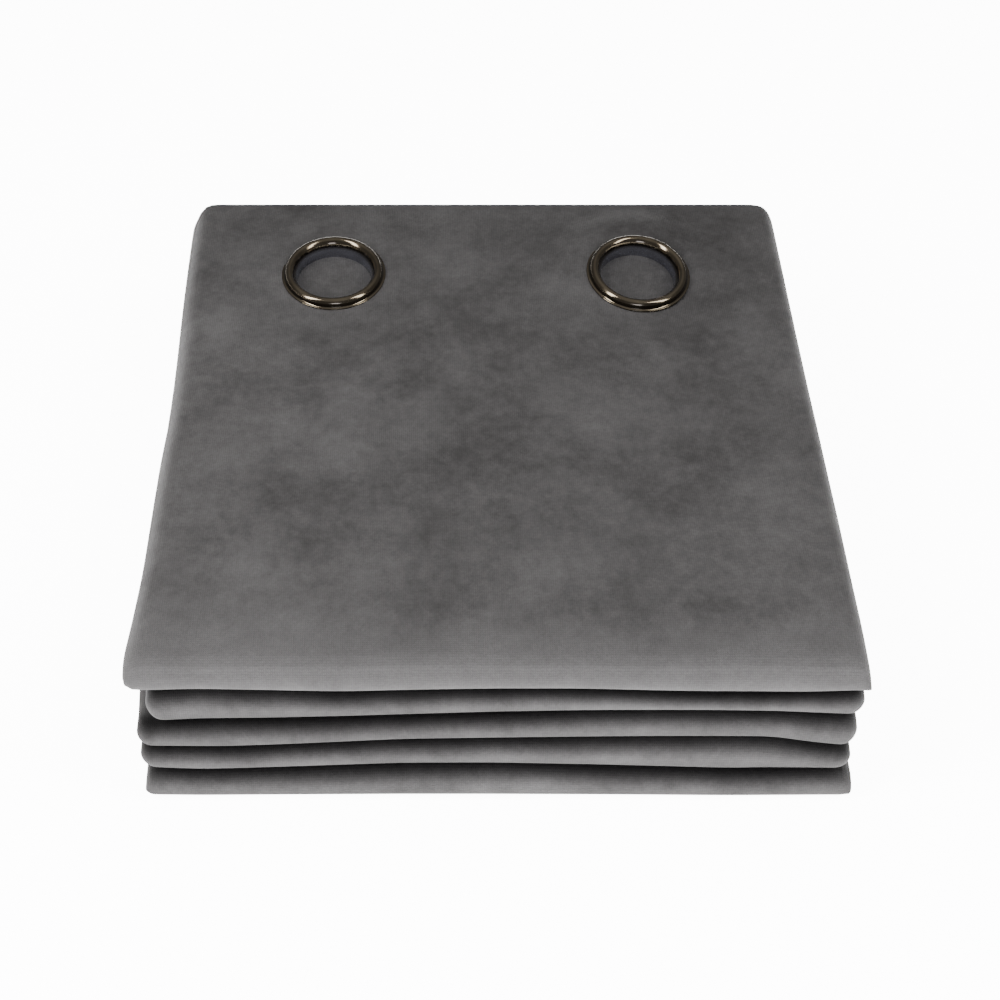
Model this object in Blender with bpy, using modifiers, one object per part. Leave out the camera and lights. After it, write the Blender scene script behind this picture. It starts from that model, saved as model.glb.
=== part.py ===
"""Velvet eyelet-header curtain panel, folded flat for the shelf.

The panel (168 cm wide, 276 cm long, ten eyelets) is folded in half three times along its length, which gives
a strip eight plies thick with its spine at the front and its header edge at the back. The strip is then folded
like a fan into five pads, 1 on top to 5 at the bottom, creased at the right, left, right and left. So pads 1, 3
and 5 lie header face up, and pads 2 and 4 header face down.
Metres, +X right, +Y towards the header edge, +Z up, origin at the middle of the underside.
"""

import math

import bmesh
import bpy
from mathutils import Matrix, Vector

# the folded panel
PAD_WIDTH = 0.335
PAD_DEPTH = 0.345
PAD_COUNT = 5
PLIES = 8
PLY = 0.0025  # one ply of velvet with the air over its pile

# how the folds are rounded
CREASE_REACH = 0.010  # how far a side crease's outer ply takes to come round
CREASE_POWER = 2.4  # over 2, so the crease is fuller than an ellipse
NOSE_REACH = 0.010
BACK_CORNER = 0.011
FRONT_CORNER = 0.006
NOSE_FULLNESS = 0.75  # under 1, so the spine is blunter than an ellipse
DOUBLE_LOOP_BACK = 0.004  # the four-ply loop at the back ends this far short of the hem and header edges
SINGLE_LOOP_BACK = 0.006
EDGE_ROUND = 0.001  # the hem's back edge
LOOP_SLIT = 0.016  # how deep the air between two loops of cloth runs in
HEM_SLIT = 0.006  # the same between the hemmed side edges
HEM_STAGGER = 0.0004  # the side hems lie this unevenly, one step at a time
SLIT = 0.0004

# the stiffened header that the eyelets clamp
HEADER_DEPTH = 0.100
HEADER_CLOTH = 0.0009
STIFFENER = 0.0005
HEADER_SIDE = 0.013  # the band stops this short of each end of a pad, clear of the crease's curve
HEADER_SETBACK = 0.0015

# the eyelets, two to a pad
EYELET_OUTER_R = 0.0285
EYELET_HOLE_R = 0.0205
BARREL_WALL = 0.0010
FACE_RISE = 0.0046
BACK_RISE = 0.0036
LIP = 0.0008  # the face ring's square outer edge, under its bead
BACK_INSET = 0.0005  # how much smaller the back ring is than the face ring
EYELET_PITCH = PAD_WIDTH / 2
EYELET_FROM_EDGE = 0.062  # header edge to the hole's centre
RING_STEPS = 24

GAP = 0.0003  # between pieces that touch
PAD_GAP = 0.0004  # between pads, with each crease's axis in the middle of it
CREASE_GAP = 0.00015  # a creased end stops this short of its axis

PAD_T = PLIES * PLY
PITCH = PAD_T + PAD_GAP
HALF_W = PAD_WIDTH / 2
HALF_D = PAD_DEPTH / 2
HEADER_T = 2 * (HEADER_CLOTH + GAP) + STIFFENER
SUNK = FACE_RISE + GAP  # the header of a pad whose eyelets meet its neighbour's lies this much lower
BACK_DEPTH = HEADER_T + 2 * GAP + BACK_RISE  # from the header's face to the back ring's far side
EYELET_Y = HALF_D - HEADER_SETBACK - EYELET_FROM_EDGE
CUT_PAST = 0.004  # cutters run this far past what they cut

# each pad: does its header face look up, which corners are creased round, and which end is free
PADS = {
    1: {"up": True, "round": ("right_top",), "free": "left"},
    2: {"up": False, "round": ("right_bottom", "left_top"), "free": None},
    3: {"up": True, "round": ("left_bottom", "right_top"), "free": None},
    4: {"up": False, "round": ("right_bottom", "left_top"), "free": None},
    5: {"up": True, "round": ("left_bottom",), "free": "right"},
}


def clear_scene():
    for obj in list(bpy.data.objects):
        bpy.data.objects.remove(obj, do_unlink=True)


def collection(name, hidden):
    made = bpy.data.collections.new(name)
    bpy.context.scene.collection.children.link(made)
    made.hide_render = hidden
    return made


def material(name, colour, roughness, metallic):
    made = bpy.data.materials.new(name)
    made.use_nodes = True
    shader = made.node_tree.nodes["Principled BSDF"]
    shader.inputs["Base Color"].default_value = (*colour, 1)
    shader.inputs["Roughness"].default_value = roughness
    shader.inputs["Metallic"].default_value = metallic
    made.diffuse_color = (*colour, 1)
    return made


def add(name, mesh, group, pivot=None, finish=None):
    """An object for the mesh. One with no finish is a cutter. A pivot is the empty it turns with."""
    obj = bpy.data.objects.new(name, mesh)
    group.objects.link(obj)
    if finish:
        mesh.materials.append(finish)
    else:
        obj.hide_render = True
        obj.display_type = "WIRE"
    hang(obj, pivot)
    return obj


def hang(obj, pivot):
    """The object turns with the pivot, and its own place stays in world metres."""
    if pivot:
        obj.parent = pivot
        obj.matrix_parent_inverse = Matrix.Translation(-Vector(pivot["axis_point"]))


def prism(outline, axis, low, high):
    """A mesh: the outline, points in the other two axes in X, Y, Z order, drawn out along the axis."""
    mesh = bpy.data.meshes.new("prism")
    shape = bmesh.new()
    corners = []
    for a, b in outline:
        point = [a, b]
        point.insert("XYZ".index(axis), low)
        corners.append(shape.verts.new(point))
    face = shape.faces.new(corners)
    out = bmesh.ops.extrude_face_region(shape, geom=[face])
    shift = Vector([high - low if letter == axis else 0 for letter in "XYZ"])
    moved = [item for item in out["geom"] if isinstance(item, bmesh.types.BMVert)]
    bmesh.ops.translate(shape, verts=moved, vec=shift)
    bmesh.ops.recalc_face_normals(shape, faces=shape.faces)
    shape.to_mesh(mesh)
    shape.free()
    return mesh


def block(low, high):
    outline = [(low[0], low[1]), (high[0], low[1]), (high[0], high[1]), (low[0], high[1])]
    return prism(outline, "Z", low[2], high[2])


def drum(radius, low_z, high_z, steps=RING_STEPS):
    turn = [2 * math.pi * i / steps for i in range(steps)]
    return prism([(radius * math.cos(a), radius * math.sin(a)) for a in turn], "Z", low_z, high_z)


def boolean(obj, tool, operation):
    cut = obj.modifiers.new(tool.name, "BOOLEAN")
    cut.operation = operation
    cut.solver = "EXACT"
    cut.object = tool


def superellipse(reach, rise, power, steps):
    """Quarter curve from (0, rise) to (reach, 0), as distances from its own corner."""
    points = []
    for i in range(steps + 1):
        a = math.pi / 2 * (1 - i / steps)
        x = reach * max(0.0, math.cos(a)) ** (2 / power)
        points.append((x, rise * max(0.0, math.sin(a)) ** (2 / power)))
    return points


def end_outline(pad, side, z0):
    """The end of a pad in X and Z, from its bottom to its top, for the right side. The left one is mirrored."""
    z1 = z0 + PAD_T
    reach = HALF_W - CREASE_GAP
    if pad["free"] == side:
        points = []
        for ply in range(PLIES):
            low, high = z0 + ply * PLY, z0 + (ply + 1) * PLY
            tip = reach - HEM_STAGGER * ((ply * 3) % 4)
            inner = tip - HEM_SLIT
            if ply:
                points += [(inner, low + SLIT / 2)]
            points += [(tip - PLY / 3, low + SLIT / 2), (tip, (low + high) / 2), (tip - PLY / 3, high - SLIT / 2)]
            if ply < PLIES - 1:
                points += [(inner, high - SLIT / 2)]
        points[0] = (points[0][0], z0)
        points[-1] = (points[-1][0], z1)
        return points
    curve = superellipse(CREASE_REACH, PAD_T, CREASE_POWER, 7)
    base = reach - CREASE_REACH
    if f"{side}_top" in pad["round"]:
        return [(base + x, z0 + z) for x, z in reversed(curve)]
    if f"{side}_bottom" in pad["round"]:
        return [(base + x, z1 - z) for x, z in curve]
    return [(reach, z0), (reach, z1)]


def width_outline(pad, z0):
    right = end_outline(pad, "right", z0)
    left = [(-x, z) for x, z in end_outline(pad, "left", z0)]
    return right + left[::-1]


def depth_outline(pad, z0):
    """The pad in Y and Z: a round spine at the front, and at the back the hem's end and two loops of cloth."""
    points = []
    for i in range(13):
        a = math.pi * i / 12
        up = math.copysign(abs(math.cos(a)) ** NOSE_FULLNESS, math.cos(a))
        points.append((-HALF_D + NOSE_REACH * (1 - math.sin(a) ** NOSE_FULLNESS), PAD_T / 2 * (1 + up)))
    # from the plain face to the header face: the double loop, the single loop, then the hem and header plies
    levels = [0, 4 * PLY, 6 * PLY, PAD_T]
    backs = [HALF_D - DOUBLE_LOOP_BACK, HALF_D - SINGLE_LOOP_BACK, HALF_D]
    for n, back in enumerate(backs):
        low = levels[n] + (SLIT / 2 if n else 0)
        high = levels[n + 1] - (SLIT / 2 if n < 2 else 0)
        mid, r = (low + high) / 2, (high - low) / 2
        inner = HALF_D - LOOP_SLIT
        if n:
            points.append((inner, low))
        if n == 2:
            inset = back - EDGE_ROUND
            points += [(inset, low), (back, low + EDGE_ROUND), (back, high - EDGE_ROUND), (inset, high)]
        else:
            for i in range(5):
                a = math.pi * (i / 4 - 0.5)
                points.append((back - r + r * math.cos(a), mid + r * math.sin(a)))
            points.append((inner, high))
    if pad["up"]:
        return [(y, z0 + z) for y, z in points]
    return [(y, z0 + PAD_T - z) for y, z in points]


def plan_outline():
    points = []
    for sx, sy, r in ((1, 1, BACK_CORNER), (-1, 1, BACK_CORNER), (-1, -1, FRONT_CORNER), (1, -1, FRONT_CORNER)):
        start = math.atan2(sy, sx) - math.pi / 4
        for i in range(6):
            a = start + math.pi / 2 * i / 5
            cx, cy = sx * (HALF_W - r), sy * (HALF_D - r)
            points.append((cx + r * math.cos(a), cy + r * math.sin(a)))
    return points


def header_level(pad_no, z0):
    """(height of the header cloth's outer face, +1 where it looks up and -1 where it looks down)."""
    pad = PADS[pad_no]
    sunk = 0 if pad_no == 1 else SUNK
    return (z0 + PAD_T - sunk, 1) if pad["up"] else (z0 + sunk, -1)


def span(face, out, near, far):
    """The heights that lie near to far below the header's face."""
    return sorted((face - out * near, face - out * far))


def make_pad(number, group, tools, pivot, velvet):
    """All the plies of one pad under its header, cut away for the header band and the eyelets' backs."""
    pad, z0 = PADS[number], (PAD_COUNT - number) * PITCH
    pack = add(f"velvet_pad_{number}", prism(width_outline(pad, z0), "Y", -HALF_D, HALF_D), group, pivot, velvet)
    side = prism(depth_outline(pad, z0), "X", -HALF_W - CUT_PAST, HALF_W + CUT_PAST)
    boolean(pack, add(f"cut_depth_{number}", side, tools), "INTERSECT")
    top = prism(plan_outline(), "Z", z0 - CUT_PAST, z0 + PAD_T + CUT_PAST)
    boolean(pack, add(f"cut_plan_{number}", top, tools), "INTERSECT")

    face, out = header_level(number, z0)
    half = HALF_W - HEADER_SIDE + GAP
    low, high = span(face, out, -SUNK - CUT_PAST, HEADER_T + GAP)
    front = HALF_D - HEADER_DEPTH - GAP
    bed = block((-half, front, low), (half, HALF_D + CUT_PAST, high))
    boolean(pack, add(f"cut_header_{number}", bed, tools), "DIFFERENCE")
    for letter, x in eyelets():
        low, high = span(face, out, 0, BACK_DEPTH + GAP)
        pocket = add(f"cut_pocket_{number}{letter}", drum(EYELET_OUTER_R + GAP, low, high), tools)
        pocket.location = (x, EYELET_Y, 0)
        boolean(pack, pocket, "DIFFERENCE")


def eyelets():
    return (("A", -EYELET_PITCH / 2), ("B", EYELET_PITCH / 2))


def make_header(number, group, tools, pivot, velvet, tape):
    """The header hem: cloth turned over at the header edge around the stiffening tape, open along its front."""
    face, out = header_level(number, (PAD_COUNT - number) * PITCH)
    half, back, front = HALF_W - HEADER_SIDE, HALF_D - HEADER_SETBACK, HALF_D - HEADER_DEPTH
    turn = HEADER_CLOTH + GAP
    section = [
        (front, 0),
        (back - turn, 0),
        (back - turn / 3, turn / 3),
        (back, turn),
        (back, HEADER_T - turn),
        (back - turn / 3, HEADER_T - turn / 3),
        (back - turn, HEADER_T),
        (front, HEADER_T),
        (front, HEADER_T - HEADER_CLOTH),
        (back - turn, HEADER_T - HEADER_CLOTH),
        (back - turn, HEADER_CLOTH),
        (front, HEADER_CLOTH),
    ]
    sleeve = prism([(y, face - out * z) for y, z in section], "X", -half, half)
    cloth = add(f"header_cloth_{number}", sleeve, group, pivot, velvet)
    low, high = span(face, out, turn, HEADER_T - turn)
    strip = block((-half, front + GAP, low), (half, back - turn - GAP, high))
    stiffener = add(f"header_stiffener_{number}", strip, group, pivot, tape)
    for letter, x in eyelets():
        low, high = span(face, out, -CUT_PAST, HEADER_T + CUT_PAST)
        punch = drum(EYELET_HOLE_R + BARREL_WALL + GAP, low, high)
        hole = add(f"cut_hole_{number}{letter}", punch, tools)
        hole.location = (x, EYELET_Y, 0)
        boolean(cloth, hole, "DIFFERENCE")
        boolean(stiffener, hole, "DIFFERENCE")


def turned(name, profile, group, pivot, finish):
    """A ring turned about Z from its section, whose points run down the outer side and back up the inner."""
    mesh = bpy.data.meshes.new(name)
    count = len(profile)
    edges = [(i, (i + 1) % count) for i in range(count)]
    mesh.from_pydata([(r, 0, z) for r, z in profile], edges, [])
    obj = add(name, mesh, group, pivot, finish)
    screw = obj.modifiers.new("turn", "SCREW")
    screw.steps = RING_STEPS
    screw.render_steps = RING_STEPS
    screw.use_merge_vertices = True
    screw.merge_threshold = 0.00001
    screw.use_smooth_shade = True
    return obj


def face_profile():
    """The face ring: a half-round bead over a flat flange, with the barrel that runs down through the header."""
    outer, hole, barrel = EYELET_OUTER_R, EYELET_HOLE_R, EYELET_HOLE_R + BARREL_WALL
    crown = (outer + hole) / 2
    bead = []
    for i in range(5):
        a = math.pi / 2 * (1 - i / 4)
        bead.append((crown + (outer - crown) * math.cos(a), LIP + GAP + (FACE_RISE - LIP - GAP) * math.sin(a)))
    inner = [(hole, FACE_RISE * 0.3), (hole + (crown - hole) * 0.35, FACE_RISE * 0.82)]
    foot = -(BACK_DEPTH - GAP)
    return bead + [(outer, GAP), (barrel, GAP), (barrel, foot), (hole, foot)] + inner


def back_profile():
    """The back ring, which snaps round the barrel behind the header."""
    outer, bore = EYELET_OUTER_R - BACK_INSET, EYELET_HOLE_R + BARREL_WALL + GAP
    top, foot = -(HEADER_T + GAP), -(BACK_DEPTH - GAP)
    chamfer = BACK_RISE * 0.6
    return [(outer, top), (outer, foot + chamfer), (outer - chamfer, foot), (bore, foot), (bore, top)]


def make_eyelets(number, group, pivot, metal, dull_metal):
    face, out = header_level(number, (PAD_COUNT - number) * PITCH)
    for letter, x in eyelets():
        rings = (
            turned(f"eyelet_face_{number}{letter}", face_profile(), group, pivot, metal),
            turned(f"eyelet_back_{number}{letter}", back_profile(), group, pivot, dull_metal),
        )
        for ring in rings:
            ring.location = (x, EYELET_Y, face)
            ring.rotation_euler = (0 if out > 0 else math.pi, 0, 0)


def crease(number, group, below):
    """The empty that pad number turns with, on the crease that joins it to the pad under it."""
    if number == PAD_COUNT:
        return None
    side = 1 if number % 2 else -1
    point = (side * HALF_W, 0, (PAD_COUNT - number) * PITCH - PAD_GAP / 2)
    pivot = bpy.data.objects.new(f"crease_{number}{number + 1}", None)
    pivot.empty_display_size = PAD_T
    group.objects.link(pivot)
    pivot.location = point
    pivot["axis_point"] = point
    hang(pivot, below)
    return pivot


def main():
    clear_scene()
    scene = bpy.context.scene
    scene.unit_settings.system = "METRIC"
    group = collection("folded_eyelet_curtain_panel", False)
    tools = collection("cutters", True)
    velvet = material("charcoal_velvet", (0.100, 0.096, 0.095), 0.92, 0.0)
    tape = material("white_header_tape", (0.80, 0.79, 0.76), 0.80, 0.0)
    metal = material("gunmetal_plating", (0.130, 0.105, 0.085), 0.18, 1.0)
    dull_metal = material("gunmetal_plating_back", (0.160, 0.135, 0.110), 0.32, 1.0)
    pivot = None
    for number in range(PAD_COUNT, 0, -1):
        pivot = crease(number, group, pivot)
        make_pad(number, group, tools, pivot, velvet)
        make_header(number, group, tools, pivot, velvet, tape)
        make_eyelets(number, group, pivot, metal, dull_metal)


main()
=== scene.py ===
import math

import bpy
import numpy as np
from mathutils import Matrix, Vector


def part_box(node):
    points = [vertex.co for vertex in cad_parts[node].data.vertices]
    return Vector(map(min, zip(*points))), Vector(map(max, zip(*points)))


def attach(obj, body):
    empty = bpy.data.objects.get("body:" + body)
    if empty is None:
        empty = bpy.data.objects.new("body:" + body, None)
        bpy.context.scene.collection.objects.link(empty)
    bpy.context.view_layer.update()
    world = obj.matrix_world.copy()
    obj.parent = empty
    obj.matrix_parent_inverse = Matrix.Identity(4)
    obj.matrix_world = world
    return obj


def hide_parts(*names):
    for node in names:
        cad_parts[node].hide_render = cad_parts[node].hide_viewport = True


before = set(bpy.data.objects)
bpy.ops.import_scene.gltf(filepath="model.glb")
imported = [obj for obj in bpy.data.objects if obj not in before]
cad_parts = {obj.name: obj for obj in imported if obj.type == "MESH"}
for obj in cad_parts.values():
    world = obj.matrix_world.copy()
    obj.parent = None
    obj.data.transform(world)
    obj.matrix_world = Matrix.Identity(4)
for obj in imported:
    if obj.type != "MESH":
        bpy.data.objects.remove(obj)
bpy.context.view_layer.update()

# The camera looks down at 45 degrees on the folded spine, from a little left of the middle, with a long lens. Its
# shift keeps the pads centred while the side edges run to a point left of the middle.
CAMERA_AT = (-0.0319, -0.6920, 0.7189)
CAMERA_DOWN = 44.67
CAMERA_LENS = 65.6
CAMERA_SENSOR = 36
CAMERA_SHIFT = 0.072

camera = bpy.data.objects.new("camera", bpy.data.cameras.new("camera"))
camera.location = CAMERA_AT
camera.rotation_euler = (math.radians(90 - CAMERA_DOWN), 0, 0)
camera.data.lens = CAMERA_LENS
camera.data.sensor_width = CAMERA_SENSOR
camera.data.shift_x = CAMERA_SHIFT
bpy.context.scene.collection.objects.link(camera)
bpy.context.scene.camera = camera


# The velvet panel: one cloth, 168 by 276 cm, folded lengthwise in half three times and then across like a fan.
# Each pad here is the stretch of it between two creases, a single thick sheet that runs through all eight plies
# from the header edge to the hem. The plies lie loose on each other; only the two rings of an eyelet clamp it.
PLIES = 8
SHEET = 0.0020  # the velvet with its pile
SKIN = 0.0001  # air over the outer plies
REACH = 0.010  # how far a side crease, and the spine, takes to come round
CREASE_POWER = 2.4
CREASE_TURN = (87.5, 14)  # a creased end's first angle in degrees, and its steps
FREE_TURN = (78, 6)
EDGE_ROUND = 0.0012
EDGE_STEPS = (0, 0.0001, 0.0003, 0.0007, 0.0012)
HEADER_EDGE = 0.0006  # the two free edges and the two loops at the back end this far short of it
HEM_EDGE = 0.0016
SMALL_LOOP = 0.006
BIG_LOOP = 0.004
GRID_TOP, GRID = 0.0032, 0.0044  # spacing of the mesh, finer on the pad that shows
HEADER_DEPTH = 0.100
HEADER_SIDE = 0.013
SUNK = 0.0049  # how much lower the header lies where its eyelets meet the neighbour's
BACK_DEPTH = 0.0075  # from the header's face to the cloth under an eyelet
EYELET_OUT = 0.0285
CLOTH_HOLE = 0.0245
HOLE_REACH = 0.006  # how far out from a hole its ragged grid edge is pulled in to the circle
RING_PRESS = 0.0006  # how deep a ring presses into the pile
RING_TILT = (0.10, 0.15)  # the top header rises to the back under its left and right eyelet
RING_ROLL = (0.0, 0.055)  # and falls to the right
HEADER_RISE = 0.0022  # all along the top header's edge
HEM_STEP = 0.0005  # where the top header's hem ends
RIPPLE, FINE_RIPPLE = 0.0006, 0.0003  # the top face isn't quite flat
FREE_DROOP, FREE_REACH, FREE_POWER = 0.55, 0.011, 2.2  # how a free end thins towards its edge
BACK_CORNER = 0.0155
WAIST, TOP_LEFT, SECOND_LEFT, LAST_RIGHT = 0.0026, 0.0014, 0.0062, 0.0042  # sides in or out, in metres

# Spans in metres over which one shape gives way to another, from the spine's front to the back.
END_SPAN = (0.008, 0.040)  # a crease closes in the pad's middle at the spine and on one face behind it
WAVE_SPAN = (0.016, 0.085)
HINGE_SPAN = (0.010, 0.040)
SAG_SPAN = (0.012, 0.060)
NOSE_SPAN = 0.040

# The order in which the sheet runs through a pad: ply, its steps across the depth (None: at the grid's spacing), then
# the half circle onto the next ply, at the spine (-1) or the back (1), and that half circle's steps.
RUN = ((1, None, 8, -1, 25), (8, 34, 5, 1, 12), (5, 14, 4, -1, 7), (4, 14, 3, 1, 8), (3, 14, 6, -1, 10),
       (6, 14, 7, 1, 8), (7, 14, 2, -1, 14), (2, 20, None, None, None))
FREE_PLIES = (1, 2)  # they end in the header edge and the hem

# Each pad: which way its header face looks, and the end of it (left, right) as free, or creased towards the
# header face or the plain face.
PADS = {
    1: (1, "free", "plain"),
    2: (-1, "header", "plain"),
    3: (1, "header", "plain"),
    4: (-1, "header", "plain"),
    5: (1, "header", "free"),
}

# How each pad lies at the spine: how far its bulge sags back, how far its header face drops, the share of the height
# where its creases close and where its free end hangs, and the rounding of its left and right corner.
SPINES = {
    1: (0.0015, 0.0052, 0.12, 0.30, 0.0045, 0.0025),
    2: (0.0034, 0.0012, 0.50, 0.15, 0.0070, 0.0070),
    3: (0.0034, 0.0012, 0.50, 0.15, 0.0070, 0.0070),
    4: (0.0034, 0.0012, 0.50, 0.15, 0.0070, 0.0070),
    5: (0.0034, 0.0012, 0.22, 0.15, 0.0045, 0.0045),
}

# Where one pad lies on the next, the spine bulges unevenly: across in metres, then up or down in metres.
WAVES = {
    1: ((-0.166, -0.0024), (-0.136, -0.0003), (-0.072, -0.0028), (0.0, -0.0003), (0.034, -0.0003),
        (0.091, -0.0028), (0.138, -0.0031), (0.166, -0.0014)),
    2: ((-0.159, -0.0062), (-0.138, -0.0049), (-0.101, -0.0039), (-0.067, -0.0020), (-0.009, 0.0009),
        (0.046, 0.0031), (0.094, 0.0041), (0.129, 0.0031), (0.165, -0.0010)),
    3: ((-0.164, -0.0013), (-0.127, -0.0024), (-0.091, -0.0001), (-0.044, 0.0036), (0.0, 0.0043),
        (0.070, 0.0051), (0.128, 0.0050), (0.143, 0.0008), (0.165, -0.0028)),
    4: ((-0.166, 0.0011), (-0.142, -0.0011), (-0.093, 0.0011), (-0.045, 0.0034), (0.0, 0.0034),
        (0.049, 0.0014), (0.110, -0.0019), (0.166, 0.0004)),
}
HINGED = {1: 1, 2: -1, 3: 1, 4: -1}  # the side each wave is creased on, where it dies out
WAVE_ENDS = (0.150, 0.1655)
SOFTEN = (-0.008, -0.003, 0.003, 0.008)  # the wave is the mean of itself shifted by these and unshifted


def smooth(low, high, value):
    """0 below low, 1 above high, and t * t * (3 - 2 t) between them, t running from 0 to 1."""
    t = np.clip((value - low) / (high - low), 0, 1)
    return t * t * (3 - 2 * t)


def fade(edge, span, y):
    """0 to 1 over a span that starts and ends this far behind an edge."""
    return smooth(edge + span[0], edge + span[1], y)


def fold_path(thick, front, back, spacing):
    """The cloth's middle line through a pad as (y, height, normal y, normal height, length so far): eight straight
    plies joined by half circles, centre + side * r * sin(a) along y and middle + r * cos(a) up, a from 0 to pi."""
    first = SHEET / 2 + SKIN
    step = (thick - 2 * first) / (PLIES - 1)
    level = [None] + [first + (PLIES - p) * step for p in range(1, PLIES + 1)]
    nose = front + REACH
    small = back - SMALL_LOOP - step / 2 - SHEET / 2
    big = back - BIG_LOOP - 1.5 * step - SHEET / 2
    ends = {1: back - HEADER_EDGE, 2: back - HEM_EDGE, 3: small, 4: small, 5: big, 6: big, 7: big, 8: big}
    edge = np.array(EDGE_STEPS)
    rows = []
    way = -1.0  # the first ply runs from the back to the spine, the next one back again
    for ply, steps, onto, side, turn_steps in RUN:
        steps = steps or round((back - nose) / spacing)
        y = np.linspace(nose, ends[ply], steps)
        if ply in FREE_PLIES:
            y = np.concatenate([np.linspace(nose, ends[ply] - edge[-1], steps)[:-1], ends[ply] - edge[::-1]])
        y = y[::-1] if way < 0 else y
        rows.append(np.stack([y, np.full_like(y, level[ply]), 0 * y, np.full_like(y, way)]))
        if onto:
            a = np.linspace(0, np.pi, turn_steps)
            r = abs(level[ply] - level[onto]) / 2
            down = np.sign(level[ply] - level[onto])
            at = nose if side < 0 else ends[ply]
            wide = REACH / (thick / 2) if side < 0 else 1.0
            rows.append(np.stack([at + side * r * wide * np.sin(a),
                                  (level[ply] + level[onto]) / 2 + down * r * np.cos(a),
                                  down * np.sin(a), side * np.cos(a)]))
        way = -way
    path = np.concatenate([rows[0]] + [r[:, 1:] for r in rows[1:]], axis=1)
    run = np.concatenate([[0], np.cumsum(np.hypot(np.diff(path[0]), np.diff(path[1])))])
    return np.concatenate([path, run[None]]), step


def columns(half_w, left, right, spacing):
    """Places across a pad as (x, fullness, edge thickness). A creased end follows a superellipse, in by
    REACH * (1 - sin(a) ** (2/n)) and as full as cos(a) ** (2/n); a free end is a rounded edge of a quarter circle."""
    def end(kind):
        start, steps = FREE_TURN if kind == "free" else CREASE_TURN
        a = np.radians(np.linspace(start, 0, steps))
        if kind == "free":
            return EDGE_ROUND * (1 - np.sin(a)), np.ones_like(a), np.cos(a)
        power = 2 / CREASE_POWER
        return REACH * (1 - np.sin(a) ** power), np.cos(a) ** power, np.ones_like(a)

    in_l, full_l, edge_l = end(left)
    in_r, full_r, edge_r = end(right)
    start, stop = -half_w + in_l[-1], half_w - in_r[-1]
    middle = np.linspace(start, stop, round((stop - start) / spacing))[1:-1]
    ones = np.ones_like(middle)
    x = np.concatenate([-half_w + in_l, middle, (half_w - in_r)[::-1]])
    return x, np.concatenate([full_l, ones, full_r[::-1]]), np.concatenate([edge_l, ones, edge_r[::-1]])


def wave(number, x, behind):
    """Height of the boundary under pad number at each x, through its points, dying out at its crease behind the
    spine, where behind is 1."""
    if number not in WAVES:
        return 0 * x
    points = np.array(WAVES[number])
    rough = np.interp(x, points[:, 0], points[:, 1])
    soft = sum(np.interp(x + shift, points[:, 0], points[:, 1]) for shift in SOFTEN)
    return (rough + soft) / (1 + len(SOFTEN)) * (1 - behind * smooth(*WAVE_ENDS, HINGED[number] * x))


def cut_holes(x, y, eyelets, header_rows):
    """Takes out the grid cells whose middle is inside an eyelet hole, and moves the points round each gap onto the
    circle centre + offset * radius / length. Returns x, y and which cells stay."""
    mid_x = (x[0, :-1, :-1] + x[0, 1:, 1:]) / 2
    mid_y = (y[0, :-1, :-1] + y[0, 1:, 1:]) / 2
    inside = np.zeros_like(mid_x, bool)
    for e in eyelets:
        inside |= (np.hypot(mid_x - e[0], mid_y - e[1]) < CLOTH_HOLE) & header_rows[:-1, None]

    def touched(cells):
        return cells[:-1, :-1] | cells[1:, :-1] | cells[:-1, 1:] | cells[1:, 1:]

    rim = touched(np.pad(inside, 1)) & touched(np.pad(~inside, 1, constant_values=True))
    for e in eyelets:
        off_x, off_y = x - e[0], y - e[1]
        r = np.hypot(off_x, off_y)
        snap = rim[None] & (r < CLOTH_HOLE + HOLE_REACH)
        x = np.where(snap, e[0] + off_x * CLOTH_HOLE / np.maximum(r, 1e-6), x)
        y = np.where(snap, e[1] + off_y * CLOTH_HOLE / np.maximum(r, 1e-6), y)
    return x, y, ~inside


def sheet_faces(keep):
    """Quads of a closed sheet whose two sides are grids of points: the cells kept on both sides, the four outer
    edges, and a wall between the sides wherever a kept cell borders on one that isn't."""
    rows, cols = keep.shape[0] + 1, keep.shape[1] + 1
    one, two = np.arange(2 * rows * cols).reshape(2, rows, cols)

    def quads(*corners):
        return np.stack(corners, axis=-1).reshape(-1, 4)

    def cells(side):
        return quads(side[:-1, :-1], side[1:, :-1], side[1:, 1:], side[:-1, 1:])[keep.ravel()]

    faces = [cells(one), cells(two)[:, ::-1],
             quads(one[0, :-1], one[0, 1:], two[0, 1:], two[0, :-1]),
             quads(one[-1, 1:], one[-1, :-1], two[-1, :-1], two[-1, 1:]),
             quads(one[1:, 0], one[:-1, 0], two[:-1, 0], two[1:, 0]),
             quads(one[:-1, -1], one[1:, -1], two[1:, -1], two[:-1, -1])]
    for axis in (0, 1):
        change = np.diff(np.pad(keep, 1, constant_values=True).astype(int), axis=axis)
        change = change[:, 1:-1] if axis == 0 else change[1:-1]
        for value in (1, -1):
            i, j = np.nonzero(change == value)
            near, far = ((i, j), (i, j + 1)) if axis == 0 else ((i + 1, j), (i, j))
            wall = quads(one[near], one[far], two[far], two[near])
            faces.append(wall if value == 1 else wall[:, ::-1])
    return np.concatenate(faces)


def outward(points, faces):
    """The faces, turned round if the volume they enclose, the sum of p0 . (p1 x p2) over triangles, is negative."""
    tri = np.concatenate([faces[:, [0, 1, 2]], faces[:, [0, 2, 3]]])
    p = points[tri]
    volume = np.einsum("ij,ij->i", p[:, 0], np.cross(p[:, 1], p[:, 2])).sum()
    return faces[:, ::-1] if volume < 0 else faces


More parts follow.
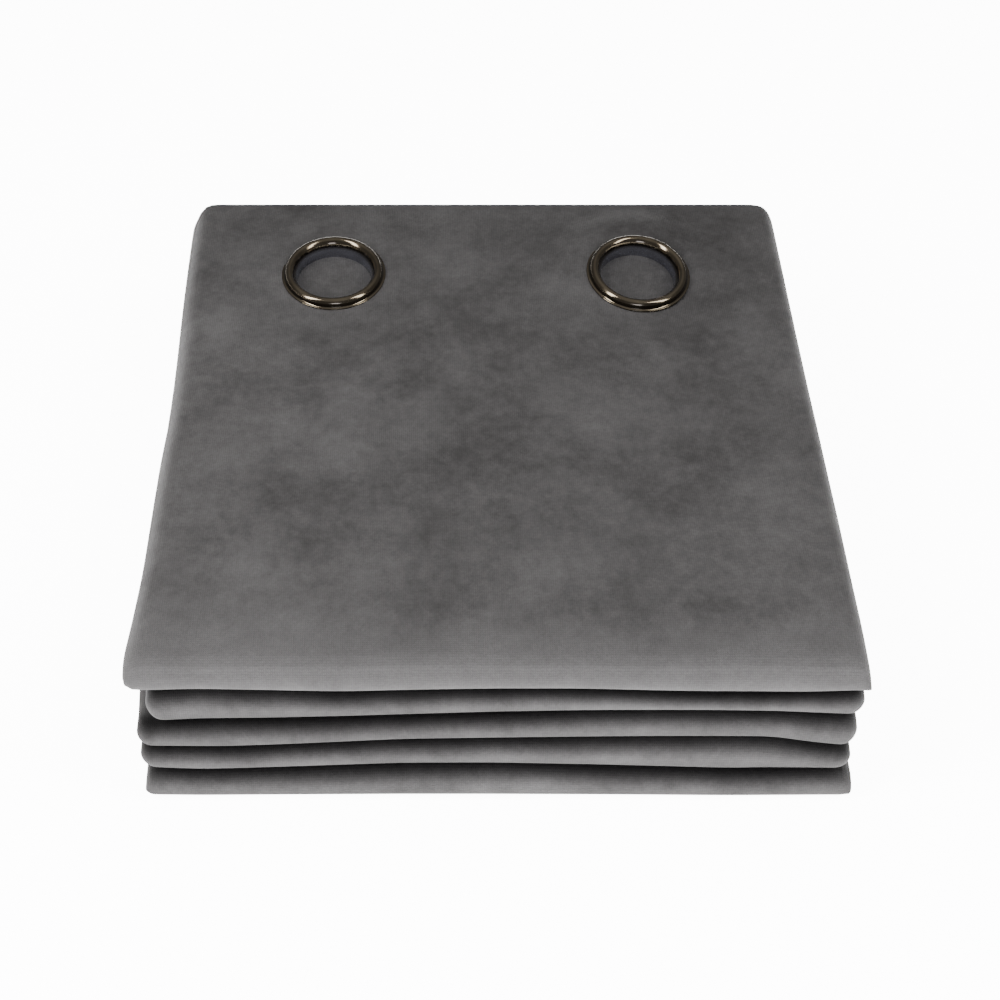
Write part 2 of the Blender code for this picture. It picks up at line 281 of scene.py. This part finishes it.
def paint_light_and_shade(on_top, x, depth, over, y):
    """Painted light and shade on the velvet: above 0 it is painted light, as over the top pad's spine, and below 0 it
    is painted shade, as on a bulge's lowest rim, in the crease under the next bulge, and on the top face towards the
    header and the right. depth is the distance behind the spine's front, and over the share of the bulge's height."""
    # painted shade on each bulge's lowest rim
    rim = 1 - smooth(0.0, 0.55, over)
    if on_top:
        # the top pad: painted light over its spine, painted shade on its lowest rim
        pile = (1 - smooth(0.004, 0.040, depth)) * (0.66 - 0.95 * rim)
        # painted shade, darker towards the header at the back and towards the right
        return pile - 0.22 * smooth(0.02, 0.17, y) - 0.08 * smooth(-0.12, 0.02, x)
    # painted shade at the top of each lower bulge, in the crease under the bulge above
    painted_crease_shade = smooth(0.46, 0.90, over) * (1 - smooth(0.008, 0.018, depth))
    return (1 - smooth(0.004, 0.016, depth)) * -0.75 * rim - painted_crease_shade


def folded_cloth(number):
    """Points, faces, flat place and painted light and shade of one pad's sheet. The folded path is thickened by half
    a sheet each way along its normal, carried across the pad, and then bent as a whole: the header sunk and lifted
    under its eyelets, the ends closed, the boundaries waved at the spine, the corners rounded."""
    up, left, right = PADS[number]
    sag, drop, close, hang, corner_l, corner_r = SPINES[number]
    on_top, below, last = number == 1, number == 2, number == len(PADS)
    low, high = (np.array(c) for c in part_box(f"velvet_pad_{number}"))
    half_w = high[0] + SKIN / 2
    front, back = low[1], high[1]
    thick = high[2] - low[2]
    spacing = GRID_TOP if on_top else GRID
    (py, pd, ny, nd, run), step = fold_path(thick, front, back, spacing)
    cx, full, edge = columns(half_w, left, right, spacing)
    total = run[-1]

    # the sheet's two sides, as arrays of (side, along, across)
    from_edge = np.minimum(run, total - run)
    cap = np.sqrt(1 - (1 - np.clip(from_edge / EDGE_ROUND, 0.01, 1)) ** 2)
    half_t = SHEET / 2 * cap[:, None] * edge[None, :]
    side = np.array([1.0, -1.0])[:, None, None]
    x = np.broadcast_to(cx, (2, len(py), len(cx))).copy()
    y = py[:, None] + side * ny[:, None] * half_t
    d = pd[:, None] + side * nd[:, None] * half_t
    s = np.broadcast_to(run[:, None], x.shape)
    order = [row[0] for row in RUN]
    ply = np.interp(run, np.linspace(0, total, 2 * PLIES + 1)[1::2], order)
    ply = np.broadcast_to(ply[:, None], x.shape)

    # loose side edges are uneven from ply to ply
    for end, sign in ((left, -1), (right, 1)):
        if end == "free":
            uneven = 0.0006 * np.sin(2.1 * ply + number) + 0.0004 + 0.0003 * np.sin(s * 21 + ply)
            x -= sign * uneven * smooth(half_w - 0.03, half_w, sign * x)

    eyelets = []
    for letter in "AB":
        a, b = (np.array(c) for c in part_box(f"eyelet_face_{number}{letter}"))
        eyelets.append((a + b)[:2] / 2)
    away = np.min([np.hypot(x - e[0], y - e[1]) for e in eyelets], axis=0)

    # the header face, flat or sunk, pressed in by its rings
    in_band = smooth(back - HEADER_DEPTH - 0.035, back - HEADER_DEPTH + 0.004, y)
    across = 1 - smooth(half_w - HEADER_SIDE - 0.010, half_w - HEADER_SIDE + 0.002, np.abs(x))
    sink = (0 if on_top else SUNK) * in_band * across
    press = RING_PRESS * (1 - smooth(EYELET_OUT - 0.001, EYELET_OUT + 0.007, away))
    head = thick - sink - press
    head -= drop * np.clip(1 - (y - front) / NOSE_SPAN, 0, 1) ** 2
    if on_top:
        for e in eyelets:
            local = 1 - smooth(0.030, 0.062, np.hypot(x - e[0], y - e[1]))
            hand = int(e[0] > 0)
            head += (RING_TILT[hand] * (y - e[1]) - RING_ROLL[hand] * (x - e[0])) * local
        head += HEADER_RISE * smooth(0.06, back, y)
        head += HEM_STEP * smooth(back - HEADER_DEPTH - 0.003, back - HEADER_DEPTH + 0.003, y)
        calm = 1 - smooth(0.10, 0.16, y)
        head += RIPPLE * calm * np.sin(31 * x + 9 * y + 0.6) * np.sin(24 * y - 7 * x + 1.1)
        head += FINE_RIPPLE * calm * np.sin(67 * x - 40 * y) * np.sin(53 * y + 22 * x + 2.0)

    # the other plies share the height left under it, less the room behind an eyelet
    near = 1 - smooth(EYELET_OUT + 0.001, 0.046, away)
    room = (BACK_DEPTH - step) * near
    under = (head - step - room) / (thick - step)
    upper = d > thick - step
    h = np.where(upper & (s < total / PLIES), head - (thick - d), d * under)
    h = np.where(upper & (s >= total / PLIES), d * head / thick, h)

    # the free ends droop, and the creased ends close on one face
    for end, sign in ((left, -1), (right, 1)):
        behind = fade(front, END_SPAN, y)
        if end == "free":
            far = half_w - sign * x
            round_end = 1 - FREE_DROOP * np.clip(1 - far / FREE_REACH, 0, 1) ** FREE_POWER
            anchor = thick * hang * (1 - behind)
            h = anchor + (h - anchor) * round_end
        else:
            face = 0.0 if end == "plain" else thick
            middle = thick * close
            anchor = middle + (face - middle) * behind
            h = anchor + (h - anchor) * np.where(sign * cx > 0, full, 1.0)

    # the spine's uneven bulges, each sagging so that its upper half lies further back than its lower
    at_nose = 1 - fade(front, WAVE_SPAN, y)
    hinge = fade(front, HINGE_SPAN, y)
    bottom = low[2] + wave(number, x, hinge) * at_nose
    top = high[2] + wave(number - 1, x, hinge) * at_nose
    share = h / thick
    z = bottom + (top - bottom) * share if up > 0 else top - (top - bottom) * share
    y = y + sag * (z - bottom) / thick * (1 - fade(front, SAG_SPAN, y))
    # the pile mark is painted light and shade
    pile = paint_light_and_shade(on_top, x, y - front, (z - bottom) / (top - bottom), y)

    # rounded corners in plan, and sides that pull in or stand out a little
    far = half_w - np.abs(x)
    corners = ((np.where(x > 0, corner_r, corner_l), front, -1, 0.03), (BACK_CORNER, back, 1, 0.05))
    for corner, edge_y, toward, reach in corners:
        c = np.clip(far / corner, 0.0, 1)
        cut = corner * (1 - np.sqrt(1 - (1 - c) ** 2 * 0.998))
        y = y - toward * cut * (1 - smooth(0, reach, toward * (edge_y - y)))
    if on_top:
        waist = WAIST * np.exp(-((y - 0.010) / 0.070) ** 2) - TOP_LEFT * (1 - smooth(-0.15, -0.10, y))
        x = x + waist * smooth(0.05, half_w, -x)
    if below:
        x = x + SECOND_LEFT * (1 - smooth(front + 0.010, front + 0.050, y)) * smooth(0.13, half_w, -x)
    if last:
        x = x + LAST_RIGHT * smooth(0.08, half_w, x)

    header_rows = np.arange(len(run)) < np.searchsorted(run, total / PLIES)
    x, y, keep = cut_holes(x, y, eyelets, header_rows)
    points = np.stack([x, y, z], axis=-1).reshape(-1, 3)
    flat = np.stack([x, s], axis=-1).reshape(-1, 2)
    faces = outward(points, sheet_faces(keep))
    used = np.zeros(len(points), bool)
    used[faces] = True
    new = np.cumsum(used) - 1
    return points[used], new[faces], flat[used], pile.reshape(-1)[used]


def mesh_object(name, points, faces, flat=None, **marks):
    """A smooth-shaded object of those vertices and quads, with flat as its UV map in metres, and marks on points."""
    mesh = bpy.data.meshes.new(name)
    mesh.vertices.add(len(points))
    mesh.vertices.foreach_set("co", points.astype(np.float32).ravel())
    mesh.loops.add(faces.size)
    mesh.loops.foreach_set("vertex_index", faces.astype(np.int32).ravel())
    mesh.polygons.add(len(faces))
    mesh.polygons.foreach_set("loop_start", np.arange(0, faces.size, faces.shape[1], dtype=np.int32))
    mesh.polygons.foreach_set("use_smooth", np.ones(len(faces), bool))
    if flat is not None:
        layer = mesh.uv_layers.new(name="cloth")
        layer.data.foreach_set("uv", flat[faces.ravel()].astype(np.float32).ravel())
    for mark, values in marks.items():
        mesh.attributes.new(mark, "FLOAT", "POINT").data.foreach_set("value", values.astype(np.float32))
    mesh.update(calc_edges=True)
    mesh.validate()
    made = bpy.data.objects.new(name, mesh)
    bpy.context.scene.collection.objects.link(made)
    return made


def colour(code):
    """Linear RGBA of an sRGB hex colour: c / 12.92 up to 0.04045, and ((c + 0.055) / 1.055) ** 2.4 above."""
    c = np.array([int(code[i:i + 2], 16) / 255 for i in (1, 3, 5)])
    linear = np.where(c <= 0.04045, c / 12.92, ((c + 0.055) / 1.055) ** 2.4)
    return (*(float(v) for v in linear), 1.0)


def add(tree, kind, inputs=None, **settings):
    """Adds a node with its settings; each input is a plain value or another node's output, which is linked."""
    made = tree.nodes.new(kind)
    for name, value in settings.items():
        setattr(made, name, value)
    for name, value in (inputs or {}).items():
        if isinstance(value, bpy.types.NodeSocket):
            tree.links.new(value, made.inputs[name])
        else:
            made.inputs[name].default_value = value
    return made


def blank_material(name):
    """A material with nothing but its output node, as (material, tree, output)."""
    made = bpy.data.materials.new(name)
    made.use_nodes = True
    made.node_tree.nodes.clear()
    return made, made.node_tree, made.node_tree.nodes.new("ShaderNodeOutputMaterial")


# Polyester velvet, woven and cut: a dense short pile with almost no gloss and a faint sheen at a low angle. It is
# dark grey and clouded where the nap lies unevenly, with painted light and painted shade from the pile mark.
THREADS, REPEAT = 0.0010, 0.314
velvet, tree, out = blank_material("charcoal polyester velvet")
place = add(tree, "ShaderNodeTexCoord")
# the pile mark: painted light above 0, painted shade below 0
lie = add(tree, "ShaderNodeAttribute", attribute_name="pile")
wide = add(tree, "ShaderNodeTexNoise", {"Vector": place.outputs["Object"], "Scale": 1 / 0.080, "Detail": 1.0})
cloud = add(tree, "ShaderNodeTexNoise", {"Vector": place.outputs["Object"], "Scale": 1 / 0.025, "Detail": 3.0,
                                         "Roughness": 0.6})
fleck = add(tree, "ShaderNodeTexNoise", {"Vector": place.outputs["Object"], "Scale": 1 / 0.006, "Detail": 4.0,
                                         "Roughness": 0.65})
nap = add(tree, "ShaderNodeMix", {"Factor": 0.45, "A": cloud.outputs["Fac"], "B": fleck.outputs["Fac"]})
nap = add(tree, "ShaderNodeMix", {"Factor": 0.35, "A": nap.outputs["Result"], "B": wide.outputs["Fac"]})
shade = add(tree, "ShaderNodeMapRange", {"Value": nap.outputs["Result"], "From Min": 0.35, "From Max": 0.65})
# the ground weave, about 0.4 mm a thread pair, drawn at 1 mm so that it shows. A wave of scale k
# repeats each 0.314 / k.
weft = add(tree, "ShaderNodeTexWave", {"Vector": place.outputs["UV"], "Scale": REPEAT / THREADS, "Distortion": 1.5,
                                       "Detail": 1.0, "Detail Scale": 1.0}, bands_direction="Y")
warp = add(tree, "ShaderNodeTexWave", {"Vector": place.outputs["UV"], "Scale": REPEAT / THREADS, "Distortion": 1.5,
                                       "Detail": 1.0, "Detail Scale": 1.0}, bands_direction="X")
weave = add(tree, "ShaderNodeMath", {0: weft.outputs["Fac"], 1: warp.outputs["Fac"]}, operation="MULTIPLY")
tips = add(tree, "ShaderNodeTexNoise", {"Vector": place.outputs["Object"], "Scale": 1 / 0.0012, "Detail": 2.0})
tufts = add(tree, "ShaderNodeMix", {"Factor": 0.65, "A": weave.outputs["Value"], "B": tips.outputs["Fac"]})
tone = add(tree, "ShaderNodeMix", {"Factor": shade.outputs["Result"], "A": colour("#2b2a2a"), "B": colour("#403f3f")},
           data_type="RGBA")
# painted light: the mark's positive part lightens the tone
painted_light = add(tree, "ShaderNodeMapRange", {"Value": lie.outputs["Fac"], "To Max": 0.85})
tone = add(tree, "ShaderNodeMix", {"Factor": painted_light.outputs["Result"], "A": tone.outputs[2], "B": colour("#444343")},
           data_type="RGBA")
# painted shade: the mark's negative part darkens the tone, down to 0.12 of it
pressed = add(tree, "ShaderNodeMapRange", {"Value": lie.outputs["Fac"], "From Min": -1.0, "From Max": 0.0,
                                           "To Min": 0.12, "To Max": 1.0})
grain = add(tree, "ShaderNodeMapRange", {"Value": tufts.outputs["Result"], "From Min": 0.20, "From Max": 0.62,
                                         "To Min": 0.86, "To Max": 1.12})
# painted shade times the thread grain
depth = add(tree, "ShaderNodeMath", {0: pressed.outputs["Result"], 1: grain.outputs["Result"]}, operation="MULTIPLY")
tone = add(tree, "ShaderNodeMix", {"Factor": 1.0, "A": tone.outputs[2], "B": depth.outputs["Value"]},
           data_type="RGBA", blend_type="MULTIPLY")
height = add(tree, "ShaderNodeMath", {0: weave.outputs["Value"], 1: tips.outputs["Fac"]}, operation="ADD")
bump = add(tree, "ShaderNodeBump", {"Height": height.outputs["Value"], "Strength": 0.3, "Distance": 0.0004})
dent = add(tree, "ShaderNodeBump", {"Height": nap.outputs["Result"], "Strength": 0.15, "Distance": 0.003,
                                    "Normal": bump.outputs["Normal"]})
shader = add(tree, "ShaderNodeBsdfPrincipled", {"Base Color": tone.outputs[2], "Roughness": 0.95,
                                                "Specular IOR Level": 0.06, "Sheen Weight": 0.045,
                                                "Sheen Roughness": 0.4, "Sheen Tint": colour("#d8d6d5"),
                                                "Normal": dent.outputs["Normal"]})
tree.links.new(shader.outputs["BSDF"], out.inputs["Surface"])

for number in PADS:
    points, faces, flat, pile = folded_cloth(number)
    # the pile mark carries painted light and shade
    cloth = mesh_object(f"velvet_cloth_{number}", points, faces, flat, pile=pile)
    cloth.data.materials.append(velvet)
    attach(cloth, f"pad_{number}")
    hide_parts(f"velvet_pad_{number}", f"header_cloth_{number}", f"header_stiffener_{number}")


# The eyelets: two pressed brass rings each, plated dark, that snap together through the header. The face ring is a
# hollow bead with a thin flat lip, and its barrel goes through the cloth. Two to a pad.
HOLE_R = 0.0205
BEAD_TOP = 0.0243  # the radius of the bead's crown
BEAD_OUT = 0.0272
BEAD_RISE = 0.0046
FUNNEL = 0.0034  # how far below the lip the bead's inner slope runs
LIP = 0.0008
LIP_EDGE = 0.0003
WALL = 0.0010
BARREL = 0.0068
RING_SET = 0.0007  # how deep a ring sits under the cloth's face
TOP_LIFT = 0.0012  # the top header's rise at its eyelets


def revolved(profile, centre, up, tilt, roll, steps=160):
    """A closed profile of (radius, height) turned about the upright axis: x = r cos(t), y = r sin(t), z = height. It
    then leans, up by tilt times y and down by roll times x. up is -1 for a ring that looks down."""
    t = np.linspace(0, 2 * np.pi, steps, endpoint=False)
    r, h = profile[:, 0][:, None], profile[:, 1][:, None]
    x, y = r * np.cos(t), r * np.sin(t)
    lean, bank = math.atan(tilt), math.atan(roll)
    y, z = y * math.cos(lean) - h * math.sin(lean), y * math.sin(lean) + h * math.cos(lean)
    x, z = x * math.cos(bank) + z * math.sin(bank), z * math.cos(bank) - x * math.sin(bank)
    points = np.stack([centre[0] + x, centre[1] + y, centre[2] + up * z], axis=-1).reshape(-1, 3)
    n = len(profile)
    index = np.arange(n * steps).reshape(n, steps)
    nxt, turn = np.roll(index, -1, 0), np.roll(index, -1, 1)
    both = np.roll(nxt, -1, 1)
    faces = np.stack([index, turn, both, nxt], axis=-1).reshape(-1, 4)
    return points, outward(points, faces)


def arc(centre, across, up, start, stop, steps):
    """Points centre + (across cos(v), up sin(v)), v from start to stop degrees."""
    v = np.radians(np.linspace(start, stop, steps))
    return np.stack([centre[0] + across * np.cos(v), centre[1] + up * np.sin(v)], axis=-1)


def face_ring_profile():
    """The lip's rounded edge, the bead's outer quarter, its longer inner quarter that runs down into the hole, the
    barrel, and the bead's underside one wall further in."""
    edge = LIP_EDGE
    outer, inner = BEAD_OUT - BEAD_TOP, BEAD_TOP - HOLE_R
    return np.concatenate([
        arc((EYELET_OUT - edge, edge), edge, edge, -90, 0, 5),
        arc((EYELET_OUT - edge, LIP - edge), edge, edge, 0, 90, 5),
        arc((BEAD_TOP, LIP), outer, BEAD_RISE - LIP, 0, 90, 14),
        arc((BEAD_TOP, -FUNNEL), inner, BEAD_RISE + FUNNEL, 90, 180, 24)[1:],
        arc((HOLE_R + WALL / 2, -BARREL + WALL / 2), WALL / 2, WALL / 2, 180, 360, 9),
        arc((BEAD_TOP, -FUNNEL), inner - WALL, BEAD_RISE + FUNNEL - WALL, 180, 90, 12),
        arc((BEAD_TOP, 0), outer - WALL, BEAD_RISE - WALL, 90, 0, 8)[1:]])


# Brass, stamped, polished and plated dark: brown gold where it catches light and nearly black where it doesn't.
# Inside the barrel the plating is thin and the metal shows cooler and lighter.
gunmetal, tree, out = blank_material("dark plated polished brass")
place = add(tree, "ShaderNodeTexCoord")
bore = add(tree, "ShaderNodeAttribute", attribute_name="bore")
smear = add(tree, "ShaderNodeTexNoise", {"Vector": place.outputs["Object"], "Scale": 1 / 0.008, "Detail": 3.0})
rough = add(tree, "ShaderNodeMapRange", {"Value": smear.outputs["Fac"], "To Min": 0.07, "To Max": 0.20})
tone = add(tree, "ShaderNodeMix", {"Factor": smear.outputs["Fac"], "A": colour("#39332a"), "B": colour("#575044")},
           data_type="RGBA")
tone = add(tree, "ShaderNodeMix", {"Factor": bore.outputs["Fac"], "A": tone.outputs[2], "B": colour("#b4b6c2")},
           data_type="RGBA")
shader = add(tree, "ShaderNodeBsdfPrincipled", {"Base Color": tone.outputs[2], "Metallic": 1.0,
                                                "Roughness": rough.outputs["Result"]})
tree.links.new(shader.outputs["BSDF"], out.inputs["Surface"])

for number in PADS:
    up = PADS[number][0]
    low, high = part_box(f"velvet_pad_{number}")
    face = (high[2] if up > 0 else low[2]) - up * (0 if number == 1 else SUNK)
    for letter in "AB":
        a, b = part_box(f"eyelet_face_{number}{letter}")
        centre = ((a[0] + b[0]) / 2, (a[1] + b[1]) / 2, face - up * RING_SET + (TOP_LIFT if number == 1 else 0))
        profile = face_ring_profile()
        hand = int(centre[0] > 0)
        tilt, roll = (RING_TILT[hand], RING_ROLL[hand]) if number == 1 else (0.0, 0.0)
        inside = (profile[:, 0] < HOLE_R + WALL) * (1 - smooth(-0.0015, 0.0015, profile[:, 1]))
        points, faces = revolved(profile, centre, up, tilt, roll)
        ring = mesh_object(f"face_ring_{number}{letter}", points, faces,
                           bore=np.repeat(inside, len(points) // len(profile)))
        ring.data.materials.append(gunmetal)
        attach(ring, f"pad_{number}")
        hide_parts(f"eyelet_face_{number}{letter}")

# The back rings: stamped brass washers with a raised middle, snapped over the barrels behind the header. Nobody sees
# them in use, so they are only tumbled and plated, satin and a little uneven.
satin, tree, out = blank_material("dark plated satin brass")
place = add(tree, "ShaderNodeTexCoord")
cloudy = add(tree, "ShaderNodeTexNoise", {"Vector": place.outputs["Object"], "Scale": 1 / 0.003, "Detail": 4.0})
tone = add(tree, "ShaderNodeMix", {"Factor": cloudy.outputs["Fac"], "A": colour("#4b453d"), "B": colour("#6b655b")},
           data_type="RGBA")
rough = add(tree, "ShaderNodeMapRange", {"Value": cloudy.outputs["Fac"], "To Min": 0.30, "To Max": 0.50})
shader = add(tree, "ShaderNodeBsdfPrincipled", {"Base Color": tone.outputs[2], "Metallic": 1.0,
                                                "Roughness": rough.outputs["Result"]})
tree.links.new(shader.outputs["BSDF"], out.inputs["Surface"])
for number in PADS:
    for letter in "AB":
        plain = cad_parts[f"eyelet_back_{number}{letter}"]
        plain.data.materials.clear()
        plain.data.materials.append(satin)

# The floor is a plain white sheet that glows, and the room is dim round the sides and brighter overhead, so the gaps
# between the pads stay dark. Behind the object the room looks as white as the floor. Two tall softboxes stand at the
# sides, and a low cool window in front gives the rings their small blue lights.
FLOOR_HALF, FLOOR_Z = 30, -0.0005
WHITE = 11.0  # strength of the floor's glow and of the backdrop
floor_mesh = bpy.data.meshes.new("floor")
floor_mesh.from_pydata([(i * FLOOR_HALF, j * FLOOR_HALF, FLOOR_Z) for i, j in ((-1, -1), (1, -1), (1, 1), (-1, 1))],
                       [], [(0, 1, 2, 3)])
floor = bpy.data.objects.new("floor", floor_mesh)
bpy.context.scene.collection.objects.link(floor)
paper, tree, out = blank_material("white paper")
shader = add(tree, "ShaderNodeBsdfPrincipled", {"Base Color": colour("#f4f4f4"), "Roughness": 0.9,
                                                "Emission Color": colour("#ffffff"), "Emission Strength": WHITE})
tree.links.new(shader.outputs["BSDF"], out.inputs["Surface"])
floor_mesh.materials.append(paper)

world = bpy.data.worlds.new("studio")
bpy.context.scene.world = world
world.use_nodes = True
tree = world.node_tree
tree.nodes.clear()
sky = add(tree, "ShaderNodeTexCoord")
upward = add(tree, "ShaderNodeSeparateXYZ", {"Vector": sky.outputs["Generated"]})
level = add(tree, "ShaderNodeMapRange", {"Value": upward.outputs["Z"], "From Min": 0.55, "From Max": 0.95,
                                         "To Min": 0.40, "To Max": 1.15}, interpolation_type="SMOOTHSTEP")
seen = add(tree, "ShaderNodeLightPath")
level = add(tree, "ShaderNodeMix", {"Factor": seen.outputs["Is Camera Ray"], "A": level.outputs["Result"],
                                    "B": WHITE})
glow = add(tree, "ShaderNodeBackground", {"Color": colour("#ffffff"), "Strength": level.outputs["Result"]})
add(tree, "ShaderNodeOutputWorld", {"Surface": glow.outputs["Background"]})


def softbox(name, at, aim, size, power, tint="#ffffff"):
    """A rectangular area light at a point, turned to face another point."""
    data = bpy.data.lights.new(name, "AREA")
    data.shape, data.size, data.size_y, data.energy = "RECTANGLE", size[0], size[1], power
    data.color = colour(tint)[:3]
    made = bpy.data.objects.new(name, data)
    made.location = at
    made.rotation_euler = (Vector(aim) - Vector(at)).to_track_quat("-Z", "Y").to_euler()
    bpy.context.scene.collection.objects.link(made)


softbox("left", (-1.0, -0.55, 1.1), (0, -0.05, 0.1), (0.35, 1.2), 52, "#fffefd")
softbox("right", (1.0, -0.50, 1.1), (0, -0.05, 0.1), (0.35, 1.2), 34, "#fffefd")
softbox("window", (0.1, -2.2, 0.60), (0, 0.1, 0.1), (0.70, 0.45), 11, "#dbe4ff")
